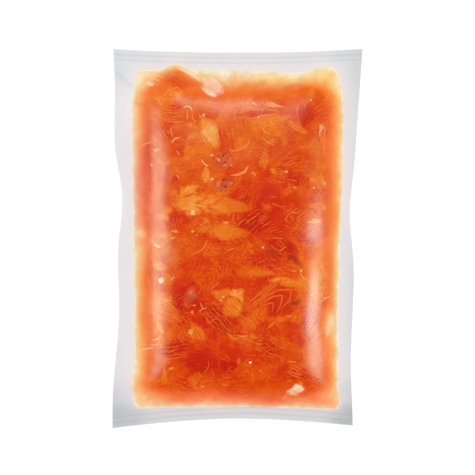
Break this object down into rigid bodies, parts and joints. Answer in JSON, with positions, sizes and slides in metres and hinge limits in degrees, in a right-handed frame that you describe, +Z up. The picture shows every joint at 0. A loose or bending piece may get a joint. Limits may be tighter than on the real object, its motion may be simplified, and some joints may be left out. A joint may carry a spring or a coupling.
{
  "type": "vacuum pack of smoked salmon",
  "caption": "Flat clear vacuum pouch, sealed at head and foot, holding a rectangular slab of overlapping smoked salmon trimmings",
  "frame": {"origin": "under the middle of the pouch, on the surface that it rests on", "axes": "+Z up through the shown face, +Y along the pouch towards its head seal, +X to the right of the shown face"},
  "size_m": [0.1984, 0.301, 0.027],
  "materials": {
    "salmon_flesh": "moist orange-red smoked fish under clinging clear film",
    "salmon_fat": "pale orange-cream fat lines and fatty patches",
    "clear_film": "clear glossy vacuum film, faintly milky"
  },
  "bodies": {
    "root": {"sealed_pouch": "salmon_flesh"}
  },
  "joints": []
}
